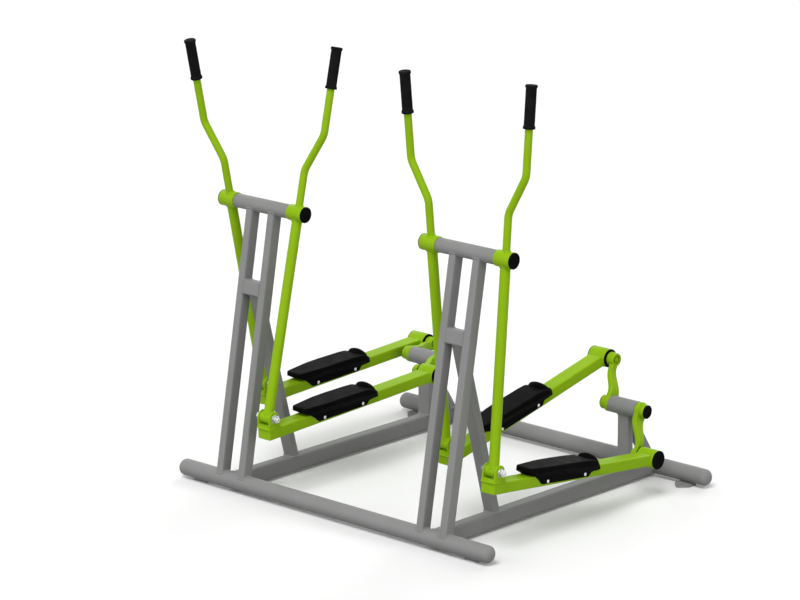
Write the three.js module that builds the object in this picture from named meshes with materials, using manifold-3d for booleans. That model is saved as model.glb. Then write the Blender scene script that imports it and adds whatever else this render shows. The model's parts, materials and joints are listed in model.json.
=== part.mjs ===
// Outdoor air walker: one welded base with two walking stations side by side.
// Each station has two swing arms with handles, two pedals and one crank.
// Millimetres, +Z up, +Y to the rear. The origin is on the floor, under the middle of the base.

import * as THREE from 'three';
import { mergeVertices } from 'three/addons/utils/BufferGeometryUtils.js';
import Module from 'manifold-3d';

const wasm = await Module();
wasm.setup();

// Clearances
const weldGap = 0.3;
const sideGap = 0.5;
const boreClearance = 0.5;
const cutOverrun = 5;
const fuseDepth = 1;

// Faces round the curved forms
const baseTubeSides = 18;
const hubSides = 16;
const tubeSides = 12;
const slimTubeSides = 10;
const boreSides = 14;
const holeSides = 8;
const washerSides = 10;
const domeSteps = 3;
const bendSteps = 2;
const planSteps = 3;
const cornerSteps = 1;
const arcSteps = 4;
const hexSides = 6;

// Base tubes and their foot plates
const baseTubeDiameter = 60.3;
const baseTubeWall = 3.2;
const baseTubeLength = 1484;
const baseTubeDomeDepth = 20;
const baseTubeSpacing = 1155;
const drainHoleDiameter = 10;
const drainHoleInset = 60;
const footPlateThickness = 8;
const footPlateSeat = 0.5;
const footPlateWidth = 66;
const footPlateInset = 91;
const footPlateNoseReach = 66;
const footPlateShoulderReach = 38;
const footPlateTipWidth = 12;
const footPlateTailReach = 4;
const anchorHoleDiameter = 14;
const anchorHoleReach = 45;

// Rails from the front tube to the rear tube, one under each station
const stationSpacing = 965;
const railWidth = 40;
const railHeight = 58;
const sectionWall = 3;
const sectionCornerRadius = 4;

// Twin columns, the bridge between them and the brace behind them
const columnWidth = 30;
const columnDepth = 45;
const columnSpacing = 106.8;
const columnFootShift = -2.7;
const columnHeadShift = 1.5;
const bridgeHeight = 52;
const bridgeRise = 692;
const braceWidth = 50;
const braceDepth = 30;
const braceFootSetback = 290.6;
const braceHeadShift = 11.2;

// Pivot of the swing arms
const pivotSetback = 168.5;
const pivotHeight = 1006.6;
const pivotTubeDiameter = 51;
const pivotTubeLength = 263.2;
const pivotShaftDiameter = 30;
const shaftChamfer = 1.5;

// Swing arms
const swingHubDiameter = 57;
const swingHubLength = 69.4;
const clevisHangHeight = 284;
const lowerTubeDiameter = 36;
const lowerTubeWall = 3;
const upperTubeDiameter = 27;
const upperTubeWall = 3;
const bendRadius = 70;
const bendAngle = THREE.MathUtils.degToRad(27);
const bendShift = 67.7;
const bendStart = 136;
const gripTop = 593;
const ventHoleDiameter = 6;
const ventHoleRise = 60;

// Grips on the upper ends
const gripLength = 146;
const gripDiameter = 37;
const gripCollarDiameter = 42;
const gripCollarWidth = 8;
const gripCollarSlope = 3;
const gripEndWall = 5;

// Plastic caps on the hub ends
const capThickness = 3;
const capEdge = 1;

// Clevis between a swing arm and its pedal
const clevisSleeveDiameter = 42;
const clevisSlotWidth = 48;
const clevisBoltDiameter = 16;
const earRadius = 25;
const earFlareAngle = THREE.MathUtils.degToRad(-12);
const clevisWebDrop = 24;
const clevisFrontReach = 24;
const clevisRearReach = 32;
const clevisToeHeight = 5;
const washerDiameter = 30;
const washerThickness = 3;
const nutAcrossFlats = 24;
const nutHeight = 13;
const boltTipLength = 5;

// Pedal arms
const pedalLength = 836.8;
const pedalArmWidth = 60;
const pedalArmDepth = 40;
const pedalArmFrontReach = 20;
const pedalArmDrop = 55;
const pedalHubDiameter = 67;
const pedalHubLength = 73.5;
const pedalPinDiameter = 25;
const hubRecess = 8;

// Footplates
const footplateToeReach = 152;
const footplateLength = 379;
const footplateWidth = 100;
const footplateToeWidth = 72;
const footplateTreadHeight = 23;
const footplateDepth = 75;
const footplateSkirtThickness = 4;
const footplateToeRadius = 12;
const footplateHeelRadius = 40;
const footplateBoltHoleDiameter = 9;

// Crank and its stand on the rail
const crankSetback = 1000.7;
const crankHeight = 284.6;
const crankRadius = 154.5;
const crankHousingDiameter = 60.3;
const crankHousingLength = 120;
const crankShaftDiameter = 30;
const crankHubDiameter = 50;
const crankHubLength = 37.5;
const crankHeadDiameter = 60;
const crankEyeDiameter = 53;
const crankEyeThickness = 34;
const crankWebThickness = 18;
const crankWebEyeWidth = 28;
const crankBendStart = 30;
const crankBendEnd = 122;
const crankEyeRecessDiameter = 34;
const crankEyeRecessDepth = 5;
const postWidth = 50;
const postDepth = 30;
const strutAngle = THREE.MathUtils.degToRad(57.2);
const strutAxisOffset = 10;

// How far each station's right crank stands forward of straight down, as last left by its user
const restCrankAngles = {
  left: THREE.MathUtils.degToRad(90),
  right: THREE.MathUtils.degToRad(24.7),
};

// Sizes that follow
const baseTubeRadius = baseTubeDiameter / 2;
const baseAxisHeight = footPlateThickness - footPlateSeat + baseTubeRadius;
const frontTubeY = -baseTubeSpacing / 2;
const rearTubeY = baseTubeSpacing / 2;
const railTop = baseAxisHeight + railHeight / 2;
const pivotY = frontTubeY + pivotSetback;
const swingArmDrop = pivotHeight - clevisHangHeight;
const crankY = frontTubeY + crankSetback;
const swingHubInner = pivotTubeLength / 2 + sideGap;
const armPlane = swingHubInner + swingHubLength / 2;
const swingHubOuter = swingHubInner + swingHubLength;
const pedalHubInner = armPlane - pedalHubLength / 2;
const pedalHubOuter = armPlane + pedalHubLength / 2;
const crankHubInner = crankHousingLength / 2 + sideGap;
const crankHubOuter = crankHubInner + crankHubLength;
const crankEyeOuter = pedalHubInner - sideGap;
const crankEyeInner = crankEyeOuter - crankEyeThickness;
const pedalArmTilt = Math.atan2(pedalArmDrop, pedalLength);

// Materials
function finish(color, roughness, metalness) {
  return new THREE.MeshStandardMaterial({ color, roughness, metalness });
}
const greyPaint = () => finish(0x8f8f90, 0.45, 0.2);
const greenPaint = () => finish(0x7fb81c, 0.4, 0.1);
const blackPlastic = () => finish(0x141414, 0.5, 0);
const blackRubber = () => finish(0x101010, 0.75, 0);
const bareSteel = () => finish(0xb8babc, 0.35, 0.9);

// A closed geometry as a solid, with its shared corners merged and its faces turned outward
function solidOf(geometry) {
  const bare = geometry.clone();
  bare.deleteAttribute('normal');
  bare.deleteAttribute('uv');
  const merged = mergeVertices(bare);
  const place = merged.attributes.position;
  const faces = [];
  const [a, b, c] = [new THREE.Vector3(), new THREE.Vector3(), new THREE.Vector3()];
  let volume = 0;
  for (let i = 0; i < merged.index.count; i += 3) {
    const [p, q, r] = [0, 1, 2].map((k) => merged.index.getX(i + k));
    if (p === q || q === r || r === p) continue;
    faces.push(p, q, r);
    a.fromBufferAttribute(place, p);
    b.fromBufferAttribute(place, q);
    c.fromBufferAttribute(place, r);
    volume += a.dot(b.cross(c));
  }
  if (volume < 0) faces.reverse();
  const vertProperties = new Float32Array(place.array);
  const triVerts = new Uint32Array(faces);
  return new wasm.Manifold(new wasm.Mesh({ numProp: 3, vertProperties, triVerts }));
}

function geometryOf(solid) {
  const mesh = solid.getMesh();
  const geometry = new THREE.BufferGeometry();
  geometry.setAttribute('position', new THREE.BufferAttribute(mesh.vertProperties, 3));
  geometry.setIndex(new THREE.BufferAttribute(mesh.triVerts, 1));
  geometry.computeVertexNormals();
  return geometry;
}

function joined(...solids) {
  return solids.reduce((whole, solid) => whole.add(solid));
}

function cut(solid, ...cutters) {
  return cutters.reduce((rest, cutter) => rest.subtract(cutter), solid);
}

// A profile of [place along the axis, radius] pairs turned round the X axis
function turned(profile, sides) {
  const points = profile.map(([along, radius]) => new THREE.Vector2(radius, along));
  return solidOf(new THREE.LatheGeometry(points, sides)).rotate([0, 0, -90]);
}

// The same round the Z axis
function turnedUp(profile, sides) {
  const points = profile.map(([along, radius]) => new THREE.Vector2(radius, along));
  return solidOf(new THREE.LatheGeometry(points, sides)).rotate([90, 0, 0]);
}

function rodX(diameter, from, to, sides) {
  const rod = new THREE.CylinderGeometry(diameter / 2, diameter / 2, to - from, sides);
  return solidOf(rod).rotate([0, 0, -90]).translate([(from + to) / 2, 0, 0]);
}

function rodZ(diameter, from, to, sides) {
  const rod = new THREE.CylinderGeometry(diameter / 2, diameter / 2, to - from, sides);
  return solidOf(rod).rotate([90, 0, 0]).translate([0, 0, (from + to) / 2]);
}

function ringX(outerDiameter, boreDiameter, from, to, sides) {
  const [outer, inner] = [outerDiameter / 2, boreDiameter / 2];
  return turned([[from, inner], [from, outer], [to, outer], [to, inner], [from, inner]], sides);
}

function block(x, y, z) {
  const [[x0, x1], [y0, y1], [z0, z1]] = [x, y, z];
  const box = solidOf(new THREE.BoxGeometry(x1 - x0, y1 - y0, z1 - z0));
  return box.translate([(x0 + x1) / 2, (y0 + y1) / 2, (z0 + z1) / 2]);
}

function roundedOutline(outline, width, height, radius) {
  const [x, y] = [width / 2 - radius, height / 2 - radius];
  outline.moveTo(x + radius, -y);
  outline.absarc(x, y, radius, 0, Math.PI / 2);
  outline.absarc(-x, y, radius, Math.PI / 2, Math.PI);
  outline.absarc(-x, -y, radius, Math.PI, Math.PI * 1.5);
  outline.absarc(x, -y, radius, Math.PI * 1.5, Math.PI * 2);
  return outline;
}

// A rectangular hollow section from 0 up the Z axis
function boxSection(width, depth, length) {
  const shape = roundedOutline(new THREE.Shape(), width, depth, sectionCornerRadius);
  const [x, y] = [width / 2 - sectionWall, depth / 2 - sectionWall];
  const bore = new THREE.Path();
  bore.setFromPoints([[x, y], [x, -y], [-x, -y], [-x, y]].map(([u, v]) => new THREE.Vector2(u, v)));
  bore.closePath();
  shape.holes.push(bore);
  return solidOf(new THREE.ExtrudeGeometry(shape, {
    depth: length,
    bevelEnabled: false,
    curveSegments: cornerSteps,
  }));
}

// An outline drawn in the side view, rear to the right and up, made solid across X
function acrossX(shape, from, to, curveSegments = arcSteps) {
  const slab = new THREE.ExtrudeGeometry(shape, {
    depth: to - from,
    bevelEnabled: false,
    curveSegments,
  });
  return solidOf(slab).rotate([90, 0, 90]).translate([from, 0, 0]);
}

function pointsShape(points) {
  return new THREE.Shape(points.map(([x, y]) => new THREE.Vector2(x, y)));
}

function degrees(radians) {
  return THREE.MathUtils.radToDeg(radians);
}

// A piece as a named mesh
function piece(name, solid, material) {
  const mesh = new THREE.Mesh(geometryOf(solid), material);
  mesh.name = name;
  return mesh;
}

// Base tubes

function domedProfile(length, radius, domeDepth) {
  const straight = length / 2 - domeDepth;
  const profile = [];
  for (let i = 0; i <= domeSteps; i++) {
    const turn = (Math.PI / 2) * (i / domeSteps);
    profile.push([-straight - domeDepth * Math.cos(turn), i === 0 ? 0 : radius * Math.sin(turn)]);
  }
  const mirrored = profile.map(([along, r]) => [-along, r]).reverse();
  return [...profile, ...mirrored];
}

// A foot plate with its nose towards +Y, under a tube on the X axis
function footPlate(x) {
  const [half, tipHalf] = [footPlateWidth / 2, footPlateTipWidth / 2];
  const shape = pointsShape([
    [-half, -footPlateTailReach],
    [half, -footPlateTailReach],
    [half, footPlateShoulderReach],
    [tipHalf, footPlateNoseReach],
    [-tipHalf, footPlateNoseReach],
    [-half, footPlateShoulderReach],
  ]);
  const hole = new THREE.Path();
  hole.absarc(0, anchorHoleReach, anchorHoleDiameter / 2, 0, Math.PI * 2, true);
  shape.holes.push(hole);
  const slab = new THREE.ExtrudeGeometry(shape, {
    depth: footPlateThickness,
    bevelEnabled: false,
    curveSegments: arcSteps,
  });
  return solidOf(slab).translate([x, 0, 0]);
}

function baseTube() {
  const bore = baseTubeDiameter - 2 * baseTubeWall;
  const boreHalf = baseTubeLength / 2 - baseTubeDomeDepth - baseTubeWall;
  const drain = rodZ(drainHoleDiameter, -baseTubeRadius - cutOverrun, 0, holeSides);
  const drainX = baseTubeLength / 2 - drainHoleInset;
  const tube = cut(
    turned(domedProfile(baseTubeLength, baseTubeRadius, baseTubeDomeDepth), baseTubeSides),
    rodX(bore, -boreHalf, boreHalf, boreSides),
  );
  const standing = cut(tube, drain.translate([drainX, 0, 0]), drain.translate([-drainX, 0, 0]))
    .translate([0, 0, baseAxisHeight]);
  const footPlateX = baseTubeLength / 2 - footPlateInset;
  return joined(standing, footPlate(footPlateX), footPlate(-footPlateX));
}

// The base tube's room, which other members are coped to
function baseTubeRoom(y) {
  const reach = baseTubeLength / 2;
  return rodX(baseTubeDiameter + 2 * weldGap, -reach, reach, baseTubeSides)
    .translate([0, y, baseAxisHeight]);
}

function rail() {
  const section = boxSection(railWidth, railHeight, baseTubeSpacing)
    .rotate([-90, 0, 0])
    .translate([0, frontTubeY, baseAxisHeight]);
  return cut(section, baseTubeRoom(frontTubeY), baseTubeRoom(rearTubeY));
}

// Uprights

// The line that the columns' centres follow, in the side view
const columnFoot = new THREE.Vector2(frontTubeY + columnFootShift, baseAxisHeight);
const columnHead = new THREE.Vector2(pivotY + columnHeadShift, pivotHeight);
const columnLine = columnHead.clone().sub(columnFoot);
const columnLean = Math.atan2(columnLine.x, columnLine.y);

// Puts a piece drawn along the upright Z axis onto the columns' line
function leaned(solid) {
  return solid.rotate([-degrees(columnLean), 0, 0]).translate([0, columnFoot.x, columnFoot.y]);
}

function pivotTubeRoom() {
  const reach = pivotTubeLength / 2;
  return rodX(pivotTubeDiameter + 2 * weldGap, -reach, reach, hubSides)
    .translate([0, pivotY, pivotHeight]);
}

function column(side) {
  const section = leaned(boxSection(columnWidth, columnDepth, columnLine.length()));
  const placed = section.translate([(side * columnSpacing) / 2, 0, 0]);
  return cut(placed, baseTubeRoom(frontTubeY), pivotTubeRoom());
}

function bridge() {
  const length = columnSpacing - columnWidth - 2 * weldGap;
  const section = boxSection(bridgeHeight, columnDepth, length)
    .rotate([0, 90, 0])
    .translate([-length / 2, 0, bridgeRise]);
  return leaned(section);
}

function brace() {
  const bridgeFoot = bridgeRise - bridgeHeight / 2;
  const lean = new THREE.Vector2(Math.sin(columnLean), Math.cos(columnLean));
  const head = columnFoot.clone().addScaledVector(lean, bridgeFoot);
  head.x += braceHeadShift * Math.cos(columnLean);
  head.y -= braceHeadShift * Math.sin(columnLean);
  const foot = new THREE.Vector2(frontTubeY + braceFootSetback, railTop);
  const line = head.clone().sub(foot);
  const tilt = Math.atan2(line.x, line.y);
  const section = boxSection(braceWidth, braceDepth, line.length() + 2 * braceDepth)
    .translate([0, 0, -braceDepth])
    .rotate([-degrees(tilt), 0, 0])
    .translate([0, foot.x, foot.y]);
  const [wide, tall] = [braceWidth, 2 * braceDepth];
  const aboveBridgeFoot = leaned(block(
    [-wide, wide],
    [-2 * columnDepth, 2 * columnDepth],
    [bridgeFoot - weldGap, bridgeFoot + 2 * tall],
  ));
  const belowRailTop = block(
    [-wide, wide],
    [foot.x - 2 * braceDepth, foot.x + 2 * braceDepth],
    [railTop - tall, railTop + weldGap],
  );
  return cut(section, aboveBridgeFoot, belowRailTop);
}

function pivotTube() {
  const half = pivotTubeLength / 2;
  return ringX(pivotTubeDiameter, pivotShaftDiameter + 2 * boreClearance, -half, half, hubSides);
}

function chamferedRod(diameter, length, chamfer) {
  const [half, radius] = [length / 2, diameter / 2];
  return turned([
    [-half, 0],
    [-half, radius - chamfer],
    [-half + chamfer, radius],
    [half - chamfer, radius],
    [half, radius - chamfer],
    [half, 0],
  ], boreSides);
}

// A cap whose back is at the origin and whose face looks to the given side
function hubCap(diameter, side) {
  const radius = diameter / 2;
  return turned([
    [side * weldGap, 0],
    [side * weldGap, radius],
    [side * (capThickness - capEdge), radius],
    [side * capThickness, radius - capEdge],
    [side * capThickness, 0],
  ], hubSides);
}

// Swing arm, in the frame of its pivot with the handle up and the clevis down

// A path that steps only at its own stations, so that straight runs stay plain
class SteppedPath extends THREE.Curve {
  constructor(points, tangents) {
    super();
    this.points = points;
    this.tangents = tangents;
  }

  station(t) {
    return Math.round(t * (this.points.length - 1));
  }

  getPointAt(t) {
    return this.points[this.station(t)].clone();
  }

  getTangentAt(t) {
    return this.tangents[this.station(t)].clone();
  }
}

// The upper tube: up, out to the side through two bends, and up again
function swanNeck(side, from, to) {
  const points = [new THREE.Vector3(0, 0, from)];
  const tangents = [new THREE.Vector3(0, 0, 1)];
  const slope = new THREE.Vector3(side * Math.sin(bendAngle), 0, Math.cos(bendAngle));
  const bendOut = bendRadius * (1 - Math.cos(bendAngle));
  const bendUp = bendRadius * Math.sin(bendAngle);
  const run = (bendShift - 2 * bendOut) / Math.sin(bendAngle);
  const secondStart = new THREE.Vector3(side * bendOut, 0, bendStart + bendUp);
  secondStart.addScaledVector(slope, run);
  for (let i = 0; i <= bendSteps; i++) {
    const turn = bendAngle * (i / bendSteps);
    const out = bendRadius * (1 - Math.cos(turn));
    points.push(new THREE.Vector3(side * out, 0, bendStart + bendRadius * Math.sin(turn)));
    tangents.push(new THREE.Vector3(side * Math.sin(turn), 0, Math.cos(turn)));
  }
  for (let i = 0; i <= bendSteps; i++) {
    const turn = bendAngle * (1 - i / bendSteps);
    const out = bendRadius * (Math.cos(turn) - Math.cos(bendAngle));
    const up = bendRadius * (Math.sin(bendAngle) - Math.sin(turn));
    points.push(secondStart.clone().add(new THREE.Vector3(side * out, 0, up)));
    tangents.push(new THREE.Vector3(side * Math.sin(turn), 0, Math.cos(turn)));
  }
  points.push(new THREE.Vector3(side * bendShift, 0, to));
  tangents.push(new THREE.Vector3(0, 0, 1));
  return new SteppedPath(points, tangents);
}

function sweptRound(path, diameter, sides) {
  const shape = new THREE.Shape();
  shape.absarc(0, 0, diameter / 2, 0, Math.PI * 2);
  return solidOf(new THREE.ExtrudeGeometry(shape, {
    steps: path.points.length - 1,
    curveSegments: sides / 2,
    extrudePath: path,
  }));
}

function swingArm(side) {
  const hubRadius = swingHubDiameter / 2;
  const sleeveRadius = clevisSleeveDiameter / 2;
  const sleeveHalf = clevisSlotWidth / 2 - sideGap;
  const hubHalf = swingHubLength / 2;
  const tubeTop = gripTop - gripEndWall - weldGap;
  const neckRoot = hubRadius - lowerTubeWall;
  const neck = cut(
    sweptRound(swanNeck(side, neckRoot, tubeTop), upperTubeDiameter, slimTubeSides),
    sweptRound(
      swanNeck(side, hubRadius + fuseDepth, tubeTop + cutOverrun),
      upperTubeDiameter - 2 * upperTubeWall,
      holeSides,
    ),
  );
  const leg = cut(
    rodZ(lowerTubeDiameter, -swingArmDrop + sleeveRadius - fuseDepth, -neckRoot, tubeSides),
    rodZ(
      lowerTubeDiameter - 2 * lowerTubeWall,
      -swingArmDrop + sleeveRadius + fuseDepth,
      -hubRadius - fuseDepth,
      holeSides,
    ),
    rodZ(ventHoleDiameter, 0, lowerTubeDiameter, holeSides)
      .rotate([-90, 0, 0])
      .translate([0, 0, -swingArmDrop + ventHoleRise]),
  );
  const sleeve = rodX(clevisSleeveDiameter, -sleeveHalf, sleeveHalf, tubeSides)
    .translate([0, 0, -swingArmDrop]);
  const hub = rodX(swingHubDiameter, -hubHalf, hubHalf, hubSides);
  const pivotBore = rodX(
    pivotShaftDiameter + 2 * boreClearance,
    -hubHalf - cutOverrun,
    hubHalf + cutOverrun,
    boreSides,
  );
  const clevisBore = rodX(
    clevisBoltDiameter + 2 * boreClearance,
    -sleeveHalf - cutOverrun,
    sleeveHalf + cutOverrun,
    boreSides,
  ).translate([0, 0, -swingArmDrop]);
  return cut(joined(neck, leg, sleeve, hub), pivotBore, clevisBore);
}

function grip() {
  const bore = upperTubeDiameter / 2 + boreClearance;
  const [body, collar] = [gripDiameter / 2, gripCollarDiameter / 2];
  return turnedUp([
    [gripTop - gripEndWall, 0],
    [gripTop - gripEndWall, bore],
    [gripTop - gripLength, bore],
    [gripTop - gripLength, collar],
    [gripTop - gripLength + gripCollarWidth, collar],
    [gripTop - gripLength + gripCollarWidth + gripCollarSlope, body],
    [gripTop - gripCollarWidth - gripCollarSlope, body],
    [gripTop - gripCollarWidth, collar],
    [gripTop - capEdge, collar],
    [gripTop, collar - gripCollarSlope],
    [gripTop, 0],
  ], tubeSides);
}

// Pedal, in the frame of its clevis bolt with the pin straight to the rear

function pedalArmTop(along) {
  return -pedalArmDrop + along * Math.tan(pedalArmTilt)
    + pedalArmDepth / 2 / Math.cos(pedalArmTilt);
}

// Puts a piece drawn along the Y axis onto the pedal arm's line, from the clevis to the pin
function alongPedalArm(solid) {
  return solid.rotate([degrees(pedalArmTilt), 0, 0]).translate([0, 0, -pedalArmDrop]);
}

function pedalBoltHoles() {
  const reach = footplateWidth;
  const hole = rodX(footplateBoltHoleDiameter, -reach, reach, holeSides);
  return footplateBoltShares.map(([along, down]) => hole.translate([
    0,
    footplateToeReach + along * footplateLength,
    footplateTreadHeight - down * footplateDepth,
  ]));
}

function clevisBracket() {
  const half = pedalArmWidth / 2;
  const slot = clevisSlotWidth / 2;
  const shape = new THREE.Shape();
  shape.moveTo(-clevisFrontReach, pedalArmTop(-clevisFrontReach) - fuseDepth);
  shape.lineTo(clevisRearReach, pedalArmTop(clevisRearReach) - fuseDepth);
  shape.lineTo(clevisRearReach, pedalArmTop(clevisRearReach) + clevisToeHeight);
  shape.absarc(0, 0, earRadius, earFlareAngle, Math.PI);
  shape.lineTo(-clevisFrontReach, -clevisWebDrop);
  return cut(
    acrossX(shape, -half, half),
    block([-slot, slot], [-2 * earRadius, 2 * earRadius], [-clevisWebDrop, 2 * earRadius]),
    rodX(clevisBoltDiameter + 2 * boreClearance, -half - cutOverrun, half + cutOverrun, boreSides),
  );
}

function pedalArm() {
  const hubHalf = pedalHubLength / 2;
  const armLength = Math.hypot(pedalLength, pedalArmDrop) + pedalArmFrontReach;
  const section = boxSection(pedalArmWidth, pedalArmDepth, armLength)
    .rotate([-90, 0, 0])
    .translate([0, -pedalArmFrontReach, 0]);
  const [x, z] = [pedalArmWidth / 2 - fuseDepth, pedalArmDepth / 2 - fuseDepth];
  const frontPlate = block(
    [-x, x],
    [-pedalArmFrontReach, -pedalArmFrontReach + sectionWall],
    [-z, z],
  );
  const hubSeat = rodX(pedalHubDiameter - 2 * fuseDepth, -hubHalf, hubHalf, hubSides)
    .translate([0, pedalLength, 0]);
  const arm = cut(alongPedalArm(joined(section, frontPlate)), hubSeat, ...pedalBoltHoles());
  const hub = ringX(
    pedalHubDiameter,
    pedalPinDiameter + 2 * boreClearance,
    -hubHalf,
    hubHalf,
    hubSides,
  ).translate([0, pedalLength, 0]);
  return joined(arm, clevisBracket(), hub);
}

// Bolt with a washer and a nut on each side of the bracket
function clevisBolt() {
  const [bolt, washer] = [clevisBoltDiameter / 2, washerDiameter / 2];
  const washerInner = pedalArmWidth / 2 + weldGap;
  const washerOuter = washerInner + washerThickness;
  const nutOuter = washerOuter + nutHeight;
  const tip = nutOuter + boltTipLength;
  const nutCorners = nutAcrossFlats / Math.cos(Math.PI / hexSides);
  const half = [
    [washerInner, bolt],
    [washerInner, washer],
    [washerOuter, washer],
    [washerOuter, bolt],
    [tip - shaftChamfer, bolt],
    [tip, bolt - shaftChamfer],
    [tip, 0],
  ];
  const mirrored = half.map(([along, radius]) => [-along, radius]).reverse();
  return joined(
    turned([...mirrored, ...half], washerSides),
    rodX(nutCorners, washerOuter - fuseDepth, nutOuter, hexSides),
    rodX(nutCorners, -nutOuter, fuseDepth - washerOuter, hexSides),
  );
}

// Footplate: places along it as shares of its length from the toe, and heights as shares of
// its depth down from the tread
const toeShares = [[0, 0.427], [0, 0.26], [0.014, 0.22]];
const treadShares = [[0.28, 0.125], [0.483, 0.06], [0.747, 0.007]];
const heelShares = [[0.773, -0.12], [0.831, -0.213], [0.918, -0.133], [0.971, -0.013]];
const heelEndShares = [[1, 0.2], [1, 0.47], [0.916, 0.54], [0.86, 0.6]];
const skirtShares = [[0.834, 0.813], [0.185, 1], [0.137, 0.787], [0.077, 0.6]];
const footplateBoltShares = [[0.2586, 0.867], [0.773, 0.693]];
const flankShares = { shoulder: 0.3, foot: 0.62 };
const crownShares = [[1, 0], [0.75, -0.136], [0.3, -0.213]];
const toeWideningShare = 0.3;

function footplatePoint([along, down]) {
  return [
    footplateToeReach + along * footplateLength,
    footplateTreadHeight - down * footplateDepth,
  ];
}

function footplate() {
  const half = footplateWidth / 2;
  const toeHalf = footplateToeWidth / 2;
  const heelEnd = footplateToeReach + footplateLength;
  const widest = footplateToeReach + toeWideningShare * footplateLength;
  const side = acrossX(pointsShape([
    ...toeShares,
    ...treadShares,
    ...heelShares,
    ...heelEndShares,
    ...skirtShares,
  ].map(footplatePoint)), -half, half);

  const plan = new THREE.Shape();
  plan.moveTo(half, widest);
  plan.absarc(half - footplateHeelRadius, heelEnd - footplateHeelRadius,
    footplateHeelRadius, 0, Math.PI / 2);
  plan.absarc(footplateHeelRadius - half, heelEnd - footplateHeelRadius,
    footplateHeelRadius, Math.PI / 2, Math.PI);
  plan.lineTo(-half, widest);
  plan.absarc(footplateToeRadius - toeHalf, footplateToeReach + footplateToeRadius,
    footplateToeRadius, Math.PI, Math.PI * 1.5);
  plan.absarc(toeHalf - footplateToeRadius, footplateToeReach + footplateToeRadius,
    footplateToeRadius, Math.PI * 1.5, Math.PI * 2);
  const planSlab = solidOf(new THREE.ExtrudeGeometry(plan, {
    depth: 3 * footplateDepth,
    bevelEnabled: false,
    curveSegments: planSteps,
  })).translate([0, 0, -2 * footplateDepth]);

  const skirt = pedalArmWidth / 2 + weldGap + footplateSkirtThickness;
  const shoulderHeight = footplateTreadHeight - flankShares.shoulder * footplateDepth;
  const flankFoot = footplateTreadHeight - flankShares.foot * footplateDepth;
  const rightFlank = [
    [skirt, -2 * footplateDepth],
    [skirt, flankFoot],
    [half, shoulderHeight],
    ...crownShares.map(([out, down]) => [
      out * half,
      footplateTreadHeight - down * footplateDepth,
    ]),
  ];
  const leftFlank = rightFlank.map(([x, z]) => [-x, z]).reverse();
  const flank = solidOf(new THREE.ExtrudeGeometry(pointsShape([...rightFlank, ...leftFlank]), {
    depth: heelEnd,
    bevelEnabled: false,
  })).rotate([90, 0, 0]).translate([0, heelEnd, 0]);

  const armHalf = pedalArmWidth / 2 + weldGap;
  const armRoom = alongPedalArm(block(
    [-armHalf, armHalf],
    [0, 2 * heelEnd],
    [-2 * pedalArmDepth, pedalArmDepth / 2 + weldGap],
  ));
  return cut(side.intersect(planSlab).intersect(flank), armRoom, ...pedalBoltHoles());
}

// Crank, in the frame of its shaft with the arm straight down

function crankArm(side) {
  const halfWeb = [
    [crankHeadDiameter / 2 - fuseDepth, 0],
    [crankWebEyeWidth / 2, -crankBendEnd],
    [crankWebEyeWidth / 2, -crankRadius],
  ];
  const web = pointsShape([...halfWeb, ...halfWeb.map(([y, z]) => [-y, z]).reverse()]);
  const reach = crankEyeOuter;
  const front = acrossX(web, -reach, reach);
  const headOuter = crankHubInner + crankWebThickness;
  const headMiddle = (crankHubInner + headOuter) / 2;
  const footMiddle = crankEyeInner + crankWebThickness / 2;
  const outward = [[headMiddle, cutOverrun]];
  for (let i = 0; i <= arcSteps; i++) {
    const share = i / arcSteps;
    const swing = (1 - Math.cos(Math.PI * share)) / 2;
    const down = THREE.MathUtils.lerp(crankBendStart, crankBendEnd, share);
    outward.push([THREE.MathUtils.lerp(headMiddle, footMiddle, swing), -down]);
  }
  outward.push([footMiddle, -crankRadius - cutOverrun]);
  const ribbon = pointsShape([
    ...outward.map(([x, z]) => [side * (x - crankWebThickness / 2), z]),
    ...outward.map(([x, z]) => [side * (x + crankWebThickness / 2), z]).reverse(),
  ]);
  const depth = 2 * crankHeadDiameter;
  const lateral = solidOf(new THREE.ExtrudeGeometry(ribbon, { depth, bevelEnabled: false }))
    .rotate([90, 0, 0])
    .translate([0, depth / 2, 0]);
  const span = (inner, outer) => [Math.min(side * inner, side * outer),
    Math.max(side * inner, side * outer)];
  const head = rodX(crankHeadDiameter, ...span(crankHubInner, headOuter), hubSides);
  const hub = rodX(crankHubDiameter, ...span(crankHubInner, crankHubOuter), hubSides);
  const eye = rodX(crankEyeDiameter, ...span(crankEyeInner, crankEyeOuter), hubSides)
    .translate([0, 0, -crankRadius]);
  const bore = rodX(
    crankShaftDiameter + 2 * weldGap,
    ...span(crankHubInner - cutOverrun, crankHubOuter - hubRecess),
    boreSides,
  );
  const recess = rodX(
    crankEyeRecessDiameter,
    ...span(crankEyeInner - cutOverrun, crankEyeInner + crankEyeRecessDepth),
    boreSides,
  ).translate([0, 0, -crankRadius]);
  return cut(joined(front.intersect(lateral), head, hub, eye), bore, recess);
}

function crankHousing() {
  const half = crankHousingLength / 2;
  return ringX(crankHousingDiameter, crankShaftDiameter + 2 * boreClearance, -half, half, hubSides);
}

function crankHousingRoom() {
  const half = crankHousingLength / 2;
  return rodX(crankHousingDiameter + 2 * weldGap, -half, half, hubSides)
    .translate([0, crankY, crankHeight]);
}

function post() {
  const foot = railTop + weldGap;
  const section = boxSection(postWidth, postDepth, crankHeight - foot)
    .translate([0, crankY, foot]);
  return cut(section, crankHousingRoom());
}

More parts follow.
